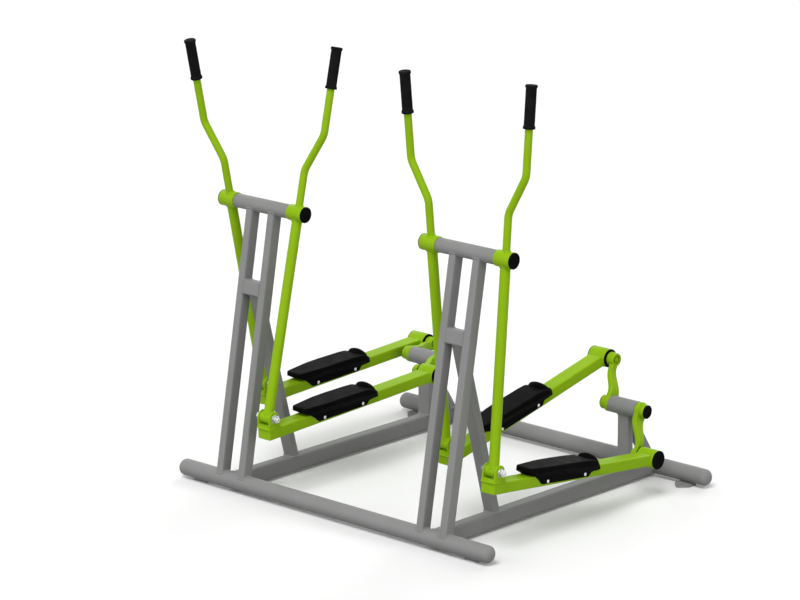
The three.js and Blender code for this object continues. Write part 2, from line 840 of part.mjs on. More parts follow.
// Strut from behind the crank housing down to the rail and the rear tube
function strut() {
  const rise = crankHeight;
  const line = new THREE.Vector2(Math.cos(strutAngle), Math.sin(strutAngle));
  const start = new THREE.Vector2(
    crankY - strutAxisOffset * line.y,
    crankHeight - strutAxisOffset * line.x,
  );
  const length = rise / line.y;
  const section = boxSection(postWidth, postDepth, 2 * length)
    .translate([0, 0, -length])
    .rotate([degrees(Math.PI / 2 - strutAngle), 0, 0])
    .translate([0, start.x, start.y]);
  const [wide, far] = [postWidth, baseTubeSpacing];
  const aheadOfPostRear = block(
    [-wide, wide],
    [-far, crankY + postDepth / 2 + weldGap],
    [-far, far],
  );
  const belowRailTop = block([-wide, wide], [-far, far], [-far, railTop + weldGap]);
  return cut(section, crankHousingRoom(), aheadOfPostRear, belowRailTop, baseTubeRoom(rearTubeY));
}

// Linkage: where a crank pin puts the foot of its swing arm, both in the side view

function clevisPlace(pin) {
  const pivot = new THREE.Vector2(pivotY, pivotHeight);
  const toPin = pin.clone().sub(pivot);
  const span = toPin.length();
  const along = (swingArmDrop ** 2 - pedalLength ** 2 + span ** 2) / (2 * span);
  const off = Math.sqrt(swingArmDrop ** 2 - along ** 2);
  toPin.normalize();
  return new THREE.Vector2(
    pivot.x + along * toPin.x + off * toPin.y,
    pivot.y + along * toPin.y - off * toPin.x,
  );
}

function inSideView(object, place, turn) {
  object.position.y = place.x;
  object.position.z = place.y;
  object.rotation.x = turn;
  return object;
}

// Everything on one side of a station that moves: the swing arm, its pedal and its crank arm
function leg(prefix, sideName, side, crankTurn) {
  const crankAxis = new THREE.Vector2(crankY, crankHeight);
  const pin = new THREE.Vector2(
    crankY + crankRadius * Math.sin(crankTurn),
    crankHeight - crankRadius * Math.cos(crankTurn),
  );
  const clevis = clevisPlace(pin);
  const swingTurn = Math.atan2(clevis.x - pivotY, pivotHeight - clevis.y);
  const pedalTurn = Math.atan2(pin.y - clevis.y, pin.x - clevis.x);
  const name = (part) => `${prefix}_${part}_${sideName}`;

  const swing = inSideView(new THREE.Group(), new THREE.Vector2(pivotY, pivotHeight), swingTurn);
  swing.position.x = side * armPlane;
  const handle = piece(name('grip'), grip(), blackRubber());
  handle.position.x = side * bendShift;
  const swingCap = piece(name('swing_hub_cap'), hubCap(swingHubDiameter, side), blackPlastic());
  swingCap.position.x = side * (swingHubOuter - armPlane);
  swing.add(piece(name('swing_arm'), swingArm(side), greenPaint()), handle, swingCap);

  const pedal = inSideView(new THREE.Group(), clevis, pedalTurn);
  pedal.position.x = side * armPlane;
  const pedalCap = piece(name('pedal_hub_cap'), hubCap(pedalHubDiameter, side), blackPlastic());
  pedalCap.position.set(side * (pedalHubOuter - armPlane), pedalLength, 0);
  const pinLength = pedalHubLength - hubRecess;
  const crankPin = piece(
    name('pedal_pin'),
    chamferedRod(pedalPinDiameter, pinLength, shaftChamfer),
    bareSteel(),
  );
  crankPin.position.set((-side * hubRecess) / 2, pedalLength, 0);
  pedal.add(
    piece(name('pedal_arm'), pedalArm(), greenPaint()),
    piece(name('footplate'), footplate(), blackPlastic()),
    piece(name('clevis_bolt'), clevisBolt(), bareSteel()),
    crankPin,
    pedalCap,
  );

  const crank = inSideView(new THREE.Group(), crankAxis, crankTurn);
  crank.add(piece(name('crank_arm'), crankArm(side), greenPaint()));
  return [swing, pedal, crank];
}

function station(prefix, x) {
  const group = new THREE.Group();
  group.position.x = x;
  const name = (part) => `${prefix}_${part}`;
  const pivot = new THREE.Vector2(pivotY, pivotHeight);
  const crankAxis = new THREE.Vector2(crankY, crankHeight);
  const pivotShaftLength = 2 * (swingHubOuter - hubRecess);
  const crankShaftLength = 2 * (crankHubOuter - hubRecess - weldGap);
  const rightTurn = -restCrankAngles[prefix];
  group.add(
    piece(name('rail'), rail(), greyPaint()),
    piece(name('column_left'), column(-1), greyPaint()),
    piece(name('column_right'), column(1), greyPaint()),
    piece(name('bridge'), bridge(), greyPaint()),
    piece(name('brace'), brace(), greyPaint()),
    inSideView(piece(name('pivot_tube'), pivotTube(), greyPaint()), pivot, 0),
    inSideView(piece(
      name('pivot_shaft'),
      chamferedRod(pivotShaftDiameter, pivotShaftLength, shaftChamfer),
      bareSteel(),
    ), pivot, 0),
    piece(name('post'), post(), greyPaint()),
    piece(name('strut'), strut(), greyPaint()),
    inSideView(piece(name('crank_housing'), crankHousing(), greyPaint()), crankAxis, 0),
    inSideView(piece(
      name('crank_shaft'),
      chamferedRod(crankShaftDiameter, crankShaftLength, shaftChamfer),
      bareSteel(),
    ), crankAxis, rightTurn),
    ...leg(prefix, 'left', -1, rightTurn + Math.PI),
    ...leg(prefix, 'right', 1, rightTurn),
  );
  return group;
}

const airWalker = new THREE.Group();
const frontTube = piece('front_tube', baseTube(), greyPaint());
frontTube.position.y = frontTubeY;
const rearTube = piece('rear_tube', baseTube(), greyPaint());
rearTube.position.y = rearTubeY;
rearTube.rotation.z = Math.PI;
airWalker.add(
  frontTube,
  rearTube,
  station('left', -stationSpacing / 2),
  station('right', stationSpacing / 2),
);

export default airWalker;
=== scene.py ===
# Looks of the outdoor air walker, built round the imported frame.
# Metres, +Z up, +Y to the rear, in the row frame. Piece names start with fine_ where they
# stand for a node of the frame.

import json
import math

import bmesh
import bpy
from mathutils import Matrix, Vector
from mathutils.geometry import tessellate_polygon


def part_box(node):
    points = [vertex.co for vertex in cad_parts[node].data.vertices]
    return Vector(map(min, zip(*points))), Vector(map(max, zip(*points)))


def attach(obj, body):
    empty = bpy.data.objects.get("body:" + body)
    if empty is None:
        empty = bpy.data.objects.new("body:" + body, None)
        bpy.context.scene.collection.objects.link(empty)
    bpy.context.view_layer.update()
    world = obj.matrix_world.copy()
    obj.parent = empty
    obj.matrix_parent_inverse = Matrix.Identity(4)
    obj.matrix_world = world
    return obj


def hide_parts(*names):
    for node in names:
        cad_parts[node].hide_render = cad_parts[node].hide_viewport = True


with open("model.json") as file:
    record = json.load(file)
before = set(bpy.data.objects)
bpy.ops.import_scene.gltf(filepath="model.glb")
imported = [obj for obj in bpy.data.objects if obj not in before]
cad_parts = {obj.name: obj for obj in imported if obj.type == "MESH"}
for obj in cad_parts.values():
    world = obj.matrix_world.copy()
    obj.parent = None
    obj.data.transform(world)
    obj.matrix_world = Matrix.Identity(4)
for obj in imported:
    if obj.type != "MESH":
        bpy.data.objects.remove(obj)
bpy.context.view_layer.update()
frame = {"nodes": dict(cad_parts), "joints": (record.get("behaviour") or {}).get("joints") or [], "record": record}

# Camera: fitted to the photograph
camera_place = Vector((8.6877, -9.4989, 4.0714))
camera_azimuth = math.radians(43.143)
camera_elevation = math.radians(14.791)
camera_roll = math.radians(-0.176)
camera_lens = 170.1
camera_sight = 200
sensor_width = 36

# Studio: how bright the world and how pale the floor are to all but camera and glossy rays, and
# the lamps as (name, direction that it shines from, angle in degrees, strength)
world_level = 0.06
floor_tone = 0.42
floor_reach = 60
suns = [
    ("top", (0.15, -0.48, 0.87), 32, 1.75),
    ("front", (-0.30, -0.92, 0.24), 60, 1.0),
    ("right", (0.95, -0.15, 0.28), 60, 1.3),
    ("back", (-0.20, 0.84, 0.50), 40, 1.2),
    ("left", (-0.90, 0.15, 0.28), 60, 1.2),
]

# Sizes that all pieces share
weld_gap = 0.0003
side_gap = 0.0005
overlap = 0.001
round_sides = 64
small_sides = 32
edge_round = 0.0015
rim_round = 0.001
edge_steps = 3
smooth_angle = math.radians(38)

# Weld beads: weld_ripple_depth is a share of the radius, and an open bead thins out over the
# last weld_fade_steps rings
weld_radius = 0.0032
weld_ripple = 0.005
weld_ripple_depth = 0.12
weld_step = 0.00125
weld_sides = 8
weld_fewest_steps = 4
weld_fade_steps = 5
weld_end_step = 0.6

# Limits of the shape helpers: corner_share is what one rounding may take of an edge
shortest_edge = 1e-7
merge_distance = 2e-6
straight_angle = math.radians(89)
corner_share = 0.49
section_arc_steps = 4
section_side_steps = 6

# Base and rails
base_tube_radius = 0.03015
base_dome_depth = 0.024
base_dome_reach = 0.004
base_dome_steps = 12
base_tube_spacing = 1.155
foot_plate_thickness = 0.008
foot_plate_seat = 0.0005
foot_plate_width = 0.066
foot_plate_inset = 0.091
foot_plate_nose_reach = 0.066
foot_plate_shoulder_reach = 0.038
foot_plate_tip_width = 0.012
foot_plate_tail_reach = 0.004
foot_plate_corner = 0.006
foot_plate_bevel = 0.0006
foot_bead_reach = 3 * weld_radius
anchor_hole_radius = 0.007
anchor_hole_reach = 0.045
rail_width = 0.040
rail_height = 0.058
section_corner = 0.005

# Columns, bridge, brace and pivot tube
column_width = 0.030
column_depth = 0.045
column_spacing = 0.1068
column_foot_shift = -0.0027
column_head_shift = 0.0015
bridge_height = 0.052
bridge_rise = 0.692
brace_width = 0.050
brace_depth = 0.030
brace_foot_setback = 0.2906
brace_head_shift = 0.0112
pivot_tube_radius = 0.0255
pivot_tube_length = 0.2632

# Swing arms, grips and caps
swing_hub_radius = 0.0285
swing_hub_length = 0.0694
lower_tube_radius = 0.018
upper_tube_radius = 0.0135
bend_radius = 0.070
bend_angle = math.radians(27)
bend_shift = 0.0677
bend_start = 0.136
bend_steps = 12
neck_end_depth = 0.006
neck_sides = 40
leg_sides = 48
grip_top = 0.593
grip_length = 0.146
grip_radius = 0.0185
grip_collar_radius = 0.021
grip_collar_width = 0.008
grip_collar_slope = 0.003
grip_round = 0.003
grip_steps = 5
cap_thickness = 0.003

# A cap's crown from its rim to its middle, as (share of its thickness, share of its radius), and
# the rounding of each corner of its whole profile
cap_crown = [(0.9, 1), (1, 0.86), (0.78, 0.82), (0.84, 0.4), (0.95, 0)]
cap_rounds = [0, 0.0003, 0.001, 0.0008, 0.0008, 0.01, 0]

# Clevis
sleeve_radius = 0.021
slot_width = 0.048
ear_radius = 0.025
ear_flare = math.radians(-12)
ear_steps = 28
web_drop = 0.024
web_bevel = 0.0003
web_slope_share = 0.6
clevis_front_reach = 0.024
clevis_rear_reach = 0.032
clevis_toe_height = 0.005
clevis_bead_radius = 0.0026
clevis_bead_share = 0.98
bolt_radius = 0.008
bolt_round = 0.0005
bolt_tip = 0.005
washer_radius = 0.015
washer_thickness = 0.003
washer_round = 0.0006

# Nuts and threads: nut_levels are shares of the height, nut_face is a share of the half width,
# and thread_root and thread_crest are shares of the pitch
nut_across_flats = 0.024
nut_height = 0.013
nut_sides = 72
nut_levels = (0, 0.06, 0.14, 0.5, 0.86, 0.94, 1)
nut_face = 0.97
nut_chamfer_slope = 2.2
thread_pitch = 0.0015
thread_depth = 0.0008
thread_root = 0.25
thread_crest = 0.6
thread_end = 0.0006

# Pedals
pedal_arm_width = 0.060
pedal_arm_depth = 0.040
pedal_arm_front_reach = 0.020
pedal_arm_drop = 0.055
pedal_arm_corner = 0.004
pedal_arm_hub_share = 0.6
pedal_hub_radius = 0.0335
pedal_hub_length = 0.0735

# Footplates: places along them as shares of their length from the toe, and heights as shares of
# their depth down from the tread
footplate_toe_reach = 0.152
footplate_length = 0.379
footplate_width = 0.100
footplate_toe_width = 0.072
footplate_tread_height = 0.023
footplate_depth = 0.075
footplate_skirt = 0.004
footplate_toe_radius = 0.012
footplate_heel_radius = 0.040
footplate_edge = 0.0035
widest_share = 0.3
hump_place = 0.3445
hump_front = 0.024
hump_back = 0.022
hump_half_width = 0.0457
hump_height = 0.0219
heel_fall_place = 0.310
heel_fall_length = 0.042
heel_fall = 0.0281
skin = 0.0015
lip_slope = 1.2
inner_share = 0.9
width_spread = 0.05
top_spread = 0.022
foot_spread = 0.014
flank_rounds = [0, 0.006, 0.006, 0.0012, 0.0008, 0.0008, 0]
crown_steps = 20
footplate_steps = 130
footplate_end_places = [0, 0.0003, 0.0009, 0.0018, 0.0028, 0.0042, 0.006, 0.009, 0.012, 0.017,
                        0.023, 0.03]
top_shares = [(0, 0.26), (0.014, 0.22), (0.28, 0.125), (0.483, 0.06), (0.747, 0.007), (1, 0.007)]
foot_shares = [(0, 0.427), (0.077, 0.6), (0.137, 0.787), (0.185, 1), (0.834, 0.813), (0.86, 0.6),
               (0.916, 0.54), (1, 0.47)]
shoulder_share = 0.3
flank_foot_share = 0.62
bolt_shares = [(0.2586, 0.867), (0.773, 0.693)]
bolt_head_radius = 0.0050
bolt_head_height = 0.0036
bolt_flange_share = 1.25
bolt_flange_thickness = 0.0012
bolt_dome = [(0.6, 0.92), (1, 0.45), (1, 0)]
bolt_rounds = [0, 0.0004, 0.0004, 0.0004, 0.003, 0.004, 0]

# Cranks
crank_hub_radius = 0.025
crank_hub_length = 0.0375
crank_hub_round = 0.0012
crank_head_radius = 0.030
crank_cap_radius = 0.0245
crank_housing_radius = 0.03015
crank_housing_length = 0.120
crank_eye_radius = 0.0252
crank_eye_thickness = 0.034
crank_eye_neck = 0.0225
crank_eye_neck_length = 0.005
crank_eye_inner_share = 0.94
crank_eye_rounds = [0, 0.0005, 0.0005, 0.0015, 0.0025, 0.001, 0.0006, 0]
crank_web_thickness = 0.018
crank_web_eye_width = 0.028
crank_web_corner = 0.003
crank_web_inset = 0.0002
crank_web_end = 0.019
crank_web_steps = 40
crank_web_side_steps = 2
crank_bend_start = 0.030
crank_bend_end = 0.122
seal_radius = 0.0330
seal_bore = 0.0235
seal_thickness = 0.0040
seal_round = 0.0008
eye_recess_radius = 0.017
eye_recess_depth = 0.010
pin_head_radius = 0.0085
pin_head_height = 0.0080
post_width = 0.050
post_depth = 0.030
strut_angle = math.radians(57.2)
strut_axis_offset = 0.010

# Places that the frame gives
joint_places = {j["name"]: Vector(j["pos_m"]) for j in frame["joints"]}
base_axis_height = foot_plate_thickness - foot_plate_seat + base_tube_radius
rail_top = base_axis_height + rail_height / 2
front_y = -base_tube_spacing / 2
rear_y = base_tube_spacing / 2
stations = ("left", "right")
sides = {"left": -1, "right": 1}
x_axis = Vector((1, 0, 0))
y_axis = Vector((0, 1, 0))
z_axis = Vector((0, 0, 1))


def centre(node):
    low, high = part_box(node)
    return (low + high) / 2


# Materials

# The colour sockets of a mix node, whose names it shares with others
mix_first, mix_second, mix_result = 6, 7, 2


def shader_tree(name):
    made = bpy.data.materials.new(name)
    made.use_nodes = True
    tree = made.node_tree
    return made, tree, tree.nodes["Principled BSDF"]


def linked_node(tree, kind, sources=(), **values):
    """A node with its named inputs set to numbers or joined to (node, output) pairs."""
    node = tree.nodes.new(kind)
    for key, value in values.items():
        setattr(node, key, value)
    for key, value in dict(sources).items():
        if isinstance(value, tuple) and hasattr(value[0], "outputs"):
            tree.links.new(value[0].outputs[value[1]], node.inputs[key])
        else:
            node.inputs[key].default_value = value
    return node


def object_place(tree):
    return linked_node(tree, "ShaderNodeTexCoord"), "Object"


def object_noise(tree, scale, detail=2.0, roughness=0.5):
    return linked_node(tree, "ShaderNodeTexNoise", {
        "Vector": object_place(tree), "Scale": scale, "Detail": detail, "Roughness": roughness,
    })


def ramp(tree, source, low, high, from_low=0.0, from_high=1.0):
    return linked_node(tree, "ShaderNodeMapRange", {
        "Value": source, "From Min": from_low, "From Max": from_high,
        "To Min": low, "To Max": high,
    })


def shaded(colour, by):
    return [min(c * by, 1) for c in colour]


def cloudy_tone(tree, cloud, first, second, from_low, from_high):
    """A colour that drifts from the first to the second as the noise rises."""
    share = ramp(tree, (cloud, "Fac"), 0.0, 1.0, from_low, from_high)
    mix = linked_node(tree, "ShaderNodeMix", {"Factor": (share, "Result")}, data_type="RGBA")
    mix.inputs[mix_first].default_value = (*first, 1)
    mix.inputs[mix_second].default_value = (*second, 1)
    return mix


def cloudy_gloss(tree, shader, cloud, first, second):
    gloss = ramp(tree, (cloud, "Fac"), first, second, from_low=0.3, from_high=0.7)
    tree.links.new(gloss.outputs["Result"], shader.inputs["Roughness"])


def edge_mask(tree, radius):
    """Near 1 along the piece's edges, where its rounded normal leaves its own."""
    bevel = linked_node(tree, "ShaderNodeBevel", {"Radius": radius}, samples=4)
    own = linked_node(tree, "ShaderNodeNewGeometry")
    dot = linked_node(tree, "ShaderNodeVectorMath", operation="DOT_PRODUCT")
    tree.links.new(bevel.outputs["Normal"], dot.inputs[0])
    tree.links.new(own.outputs["Normal"], dot.inputs[1])
    return ramp(tree, (dot, "Value"), 1.0, 0.0, from_low=0.86, from_high=0.995)


def bumped(tree, shader, height, strength, distance):
    bump = linked_node(tree, "ShaderNodeBump", {
        "Height": height, "Strength": strength, "Distance": distance,
    })
    tree.links.new(bump.outputs["Normal"], shader.inputs["Normal"])


def powder_coat(name, colour, worn, roughness):
    """Sprayed and baked paint: orange peel, cloudy gloss and edges rubbed a little paler."""
    made, tree, shader = shader_tree(name)
    cloud = object_noise(tree, scale=9.0, detail=3.0)
    speck = object_noise(tree, scale=160.0)
    tone = cloudy_tone(tree, cloud, shaded(colour, by=0.965), shaded(colour, by=1.03),
                       from_low=0.3, from_high=0.7)
    edges = edge_mask(tree, radius=0.0018)
    flecks = ramp(tree, (speck, "Fac"), 0.0, 0.55, from_low=0.42, from_high=0.72)
    rubbed = linked_node(tree, "ShaderNodeMath", {
        0: (edges, "Result"), 1: (flecks, "Result"),
    }, operation="MULTIPLY")
    mix = linked_node(tree, "ShaderNodeMix", {"Factor": (rubbed, "Value")}, data_type="RGBA")
    tree.links.new(tone.outputs[mix_result], mix.inputs[mix_first])
    mix.inputs[mix_second].default_value = (*worn, 1)
    tree.links.new(mix.outputs[mix_result], shader.inputs["Base Color"])
    cloudy_gloss(tree, shader, cloud, roughness - 0.05, roughness + 0.05)
    peel = object_noise(tree, scale=420.0, detail=1.0)
    bumped(tree, shader, (peel, "Fac"), strength=0.22, distance=0.00018)
    shader.inputs["Specular IOR Level"].default_value = 0.03
    shader.inputs["Coat Weight"].default_value = 0.05
    shader.inputs["Coat Roughness"].default_value = 0.15
    return made


def moulded_plastic(name, colour, roughness, grain_scale, grain_depth):
    """Black plastic or rubber with a moulded grain and a few paler scuffs."""
    made, tree, shader = shader_tree(name)
    shader.inputs["Specular IOR Level"].default_value = 0.01
    cloud = object_noise(tree, scale=22.0, detail=4.0, roughness=0.6)
    tone = cloudy_tone(tree, cloud, colour, shaded(colour, by=1.7),
                       from_low=0.35, from_high=0.75)
    tree.links.new(tone.outputs[mix_result], shader.inputs["Base Color"])
    cloudy_gloss(tree, shader, cloud, roughness + 0.06, roughness - 0.06)
    grain = linked_node(tree, "ShaderNodeTexVoronoi", {
        "Vector": object_place(tree), "Scale": grain_scale,
    })
    bumped(tree, shader, (grain, "Distance"), strength=0.4, distance=grain_depth)
    return made


def zinc_plate(name, colour, roughness):
    """Bright zinc plating: faint turned lines and cloudy passivation."""
    made, tree, shader = shader_tree(name)
    cloud = object_noise(tree, scale=130.0, detail=3.0)
    tone = cloudy_tone(tree, cloud, shaded(colour, by=0.86), colour,
                       from_low=0.35, from_high=0.7)
    tree.links.new(tone.outputs[mix_result], shader.inputs["Base Color"])
    cloudy_gloss(tree, shader, cloud, roughness - 0.06, roughness + 0.08)
    lines = linked_node(tree, "ShaderNodeTexWave", {
        "Vector": object_place(tree), "Scale": 260.0, "Distortion": 2.0,
    }, bands_direction="X")
    bumped(tree, shader, (lines, "Fac"), strength=0.12, distance=0.00005)
    shader.inputs["Metallic"].default_value = 1.0
    return made


finishes = {
    "grey_steel": powder_coat(
        "grey_steel", (0.276, 0.276, 0.274), worn=(0.36, 0.36, 0.355), roughness=0.42),
    "green_steel": powder_coat(
        "green_steel", (0.288, 0.500, 0.008), worn=(0.40, 0.60, 0.03), roughness=0.36),
    "cap_plastic": moulded_plastic(
        "cap_plastic", (0.003, 0.003, 0.003), roughness=0.42, grain_scale=900.0,
        grain_depth=0.00004),
    "grip_rubber": moulded_plastic(
        "grip_rubber", (0.008, 0.008, 0.008), roughness=0.62, grain_scale=650.0,
        grain_depth=0.00010),
    "footplate_plastic": moulded_plastic(
        "footplate_plastic", (0.003, 0.003, 0.003), roughness=0.48, grain_scale=520.0,
        grain_depth=0.00012),
    "zinc_steel": zinc_plate("zinc_steel", (0.60, 0.61, 0.62), roughness=0.30),
}


# Shapes

def soften(points, radius, steps=edge_steps, closed=False):
    """The same line with its corners rounded. A list of radii gives each corner its own."""
    last = len(points) - 1
    rounded = []
    for i, p in enumerate(points):
        r = radius[i] if isinstance(radius, (list, tuple)) else radius
        if not closed and i in (0, last):
            rounded.append(p)
            continue
        back, ahead = points[i - 1] - p, points[(i + 1) % len(points)] - p
        shorter = min(back.length, ahead.length)
        if r <= 0 or shorter < shortest_edge or back.angle(ahead) / 2 > straight_angle:
            rounded.extend([p] * (steps + 1))
            continue
        half = back.angle(ahead) / 2
        reach = min(r / math.tan(half), corner_share * shorter)
        back.normalize()
        ahead.normalize()
        middle = p + (back + ahead).normalized() * reach / math.cos(half)
        first, final = p + back * reach - middle, p + ahead * reach - middle
        turn = first.angle(final)
        for k in range(steps + 1):
            t = k / steps
            arm = first * math.sin((1 - t) * turn) + final * math.sin(t * turn)
            rounded.append(middle + arm / math.sin(turn))
    return rounded


def rounded_section(width, depth, radius=section_corner, side_steps=section_side_steps):
    """A rounded rectangle in X and Y, its sides split so that coped ends follow their curve."""
    x, y = width / 2, depth / 2
    corners = [Vector((x, -y)), Vector((x, y)), Vector((-x, y)), Vector((-x, -y))]
    arcs = soften(corners, radius, section_arc_steps, closed=True)
    outline = []
    for i, p in enumerate(arcs):
        outline.append(p)
        ahead = arcs[(i + 1) % len(arcs)]
        if (ahead - p).length > 2 * radius:
            outline.extend(p.lerp(ahead, k / side_steps) for k in range(1, side_steps))
    return outline


def circle(radius, count=round_sides):
    steps = (2 * math.pi * k / count for k in range(count))
    return [Vector((radius * math.cos(t), radius * math.sin(t))) for t in steps]


def plane_cut(point, normal):
    return lambda p, d: (point - p).dot(normal) / d.dot(normal)


def tube_cut(y, z, radius, side):
    """Where a line enters (side -1) or leaves (side 1) a tube that lies along X."""
    def hit(p, d):
        a = d.y ** 2 + d.z ** 2
        b = (p.y - y) * d.y + (p.z - z) * d.z
        c = (p.y - y) ** 2 + (p.z - z) ** 2 - radius ** 2
        if b * b < a * c:
            return -side * math.inf
        return (-b + side * math.sqrt(b * b - a * c)) / a
    return hit


class Shell:
    """The points and faces of one piece, gathered part by part."""

    def __init__(self):
        self.points = []
        self.faces = []

    def add(self, points):
        start = len(self.points)
        self.points.extend(points)
        return range(start, start + len(points))

    def loft(self, rings, closed=False):
        loops = [self.add(ring) for ring in rings]
        pairs = list(zip(loops, loops[1:]))
        if closed:
            pairs.append((loops[-1], loops[0]))
        else:
            self.faces.append(tuple(reversed(loops[0])))
            self.faces.append(tuple(loops[-1]))
        for a, b in pairs:
            self.strip(a, b)

    def strip(self, a, b):
        """The faces between two loops of as many points."""
        for i in range(len(a)):
            j = (i + 1) % len(a)
            self.faces.append((a[i], a[j], b[j], b[i]))

    def revolve(self, profile, place, count=round_sides, closed=False):
        """A profile of (place along X, radius) pairs turned round the local X axis."""
        rings = [[place @ Vector((x, *p)) for p in circle(max(r, shortest_edge), count)]
                 for x, r in profile]
        self.loft(rings, closed)

    def coped(self, section, place, low, high):
        """A straight member along local Z, its ends cut to the low and the high surface."""
        axis = place.to_3x3() @ z_axis
        starts = [place @ Vector((*p, 0)) for p in section]
        ends = [[p + axis * cut(p, axis) for p in starts] for cut in (low, high)]
        self.loft(ends)
        return ends

    def bead(self, path, closed=True, up=None, radius=weld_radius):
        """A rippled weld bead along a line of points."""
        line = resampled(path, closed)
        middle = sum(line, Vector()) / len(line)
        rings = []
        for i, p in enumerate(line):
            ahead = line[(i + 1) % len(line)] if closed else line[min(i + 1, len(line) - 1)]
            along = (ahead - line[i - 1 if closed or i else 0]).normalized()
            out = up or p - middle
            out = (out - along * out.dot(along)).normalized()
            side = along.cross(out)
            turn = 2 * math.pi * i * weld_step / weld_ripple
            size = radius * (1 + weld_ripple_depth * math.sin(turn))
            if not closed:
                from_end = (min(i, len(line) - 1 - i) + weld_end_step) / weld_fade_steps
                size *= math.sin(math.pi * min(0.5, from_end))
            rings.append([p + out * q.x + side * q.y for q in circle(size, weld_sides)])
        self.loft(rings, closed)

    def plate(self, outline, low, high, place, holes=(), bevel=edge_round):
        """A flat plate drawn in X and Y, from low to high along local Z, with bevelled edges."""
        rows = []
        insets = []
        for loop in (outline, *holes):
            inset = moved_in(loop, bevel if loop is outline else -bevel)
            levels = [(inset, low), (loop, low + bevel), (loop, high - bevel), (inset, high)]
            made = [self.add([place @ Vector((*p, z)) for p in ring]) for ring, z in levels]
            rows.append(made)
            insets.append([Vector((*p, 0)) for p in inset])
            for a, b in zip(made, made[1:]):
                self.strip(a, b)
        for level in (0, -1):
            ids = [i for made in rows for i in made[level]]
            for a, b, c in tessellate_polygon(insets):
                self.faces.append((ids[a], ids[b], ids[c]))


def moved_in(loop, distance):
    """A closed outline, drawn counterclockwise, moved inward."""
    moved = []
    for i, p in enumerate(loop):
        back = (p - loop[i - 1]).normalized()
        ahead = (loop[(i + 1) % len(loop)] - p).normalized()
        left = Vector((-back.y - ahead.y, back.x + ahead.x)).normalized()
        moved.append(p + left * distance)
    return moved


def resampled(path, closed):
    """Points at even steps along a line."""
    line = list(path) + ([path[0]] if closed else [])
    lengths = [(b - a).length for a, b in zip(line, line[1:])]
    count = max(weld_fewest_steps, round(sum(lengths) / weld_step))
    spots, covered, i = [], 0.0, 0
    for k in range(count if closed else count + 1):
        want = sum(lengths) * k / count
        while i < len(lengths) - 1 and covered + lengths[i] < want:
            covered += lengths[i]
            i += 1
        share = (want - covered) / max(lengths[i], shortest_edge)
        spots.append(line[i].lerp(line[i + 1], share))
    return spots


def made_piece(name, shell, finish, body, stands_for=()):
    mesh = bpy.data.meshes.new(name)
    mesh.from_pydata(shell.points, [], shell.faces)
    work = bmesh.new()
    work.from_mesh(mesh)
    bmesh.ops.remove_doubles(work, verts=work.verts, dist=merge_distance)
    bmesh.ops.dissolve_degenerate(work, edges=work.edges, dist=shortest_edge)
    bmesh.ops.recalc_face_normals(work, faces=work.faces)
    work.to_mesh(mesh)
    work.free()
    mesh.shade_smooth()
    mesh.set_sharp_from_angle(angle=smooth_angle)
    mesh.materials.append(finishes[finish])
    made = bpy.data.objects.new(name, mesh)
    bpy.context.scene.collection.objects.link(made)
    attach(made, body)
    if stands_for:
        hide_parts(*stands_for)
    return made


def fine(node, shell, finish, body="frame"):
    return made_piece("fine_" + node, shell, finish, body, [node])


def welded_member(node, section, place, low, high):
    """A straight grey member of the frame with a weld bead round either end."""
    shell = Shell()
    for end in shell.coped(section, place, low, high):
        shell.bead(end)
    fine(node, shell, "grey_steel")


def round_tube(node, length, radius, place):
    """A grey tube of the frame across the station."""
    shell = Shell()
    shell.revolve(rod_profile(-length / 2, length / 2, radius, rim_round), place)
    fine(node, shell, "grey_steel")


def rod_profile(low, high, radius, rounding=edge_round):
    """A solid rod's profile along X, with rounded rims."""
    corners = [(low, 0), (low, radius), (high, radius), (high, 0)]
    return soften([Vector(c) for c in corners], rounding)


def ring_profile(low, high, outer, inner, rounding=edge_round):
    corners = [(low, inner), (low, outer), (high, outer), (high, inner)]
    return soften([Vector(c) for c in corners], rounding, closed=True)


# Base

def foot_plate_outline():
    half, tip_half = foot_plate_width / 2, foot_plate_tip_width / 2
    right = [Vector((half, -foot_plate_tail_reach)), Vector((half, foot_plate_shoulder_reach)),
             Vector((tip_half, foot_plate_nose_reach))]
    left = [Vector((-p.x, p.y)) for p in reversed(right)]
    return soften(right + left, foot_plate_corner, closed=True)


def base_tube(node, y, turn):
    """A base tube with its two foot plates, whose noses the turn points inward."""
    shell = Shell()
    reach = (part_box(node)[1].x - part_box(node)[0].x) / 2
    straight = reach + base_dome_reach - base_dome_depth
    dome = [(straight + base_dome_depth * math.sin(t), base_tube_radius * math.cos(t))
            for t in (math.pi / 2 * k / base_dome_steps for k in range(base_dome_steps + 1))]
    profile = [(-x, r) for x, r in reversed(dome)] + dome
    shell.revolve(profile, Matrix.Translation((0, y, base_axis_height)))
    for side in sides.values():
        hole = [p + Vector((0, anchor_hole_reach))
                for p in circle(anchor_hole_radius, small_sides)]
        spot = Vector((side * (reach - foot_plate_inset), y, 0))
        place = Matrix.Translation(spot) @ Matrix.Rotation(turn, 4, "Z")
        shell.plate(foot_plate_outline(), 0, foot_plate_thickness, place, [hole],
                    foot_plate_bevel)
        bead_half = foot_plate_width / 2 - weld_radius
        for offset in (-foot_plate_tail_reach, foot_bead_reach):
            ends = [Vector((x, offset, foot_plate_thickness)) for x in (-bead_half, bead_half)]
            shell.bead([place @ p for p in ends], closed=False, up=z_axis)
    fine(node, shell, "grey_steel")


def rail(station, x):
    turn = Matrix.Rotation(-math.pi / 2, 4, "X")
    welded_member(
        f"{station}_rail", rounded_section(rail_width, rail_height),
        Matrix.Translation((x, 0, base_axis_height)) @ turn,
        tube_cut(front_y, base_axis_height, base_tube_radius, 1),
        tube_cut(rear_y, base_axis_height, base_tube_radius, -1))


# Uprights

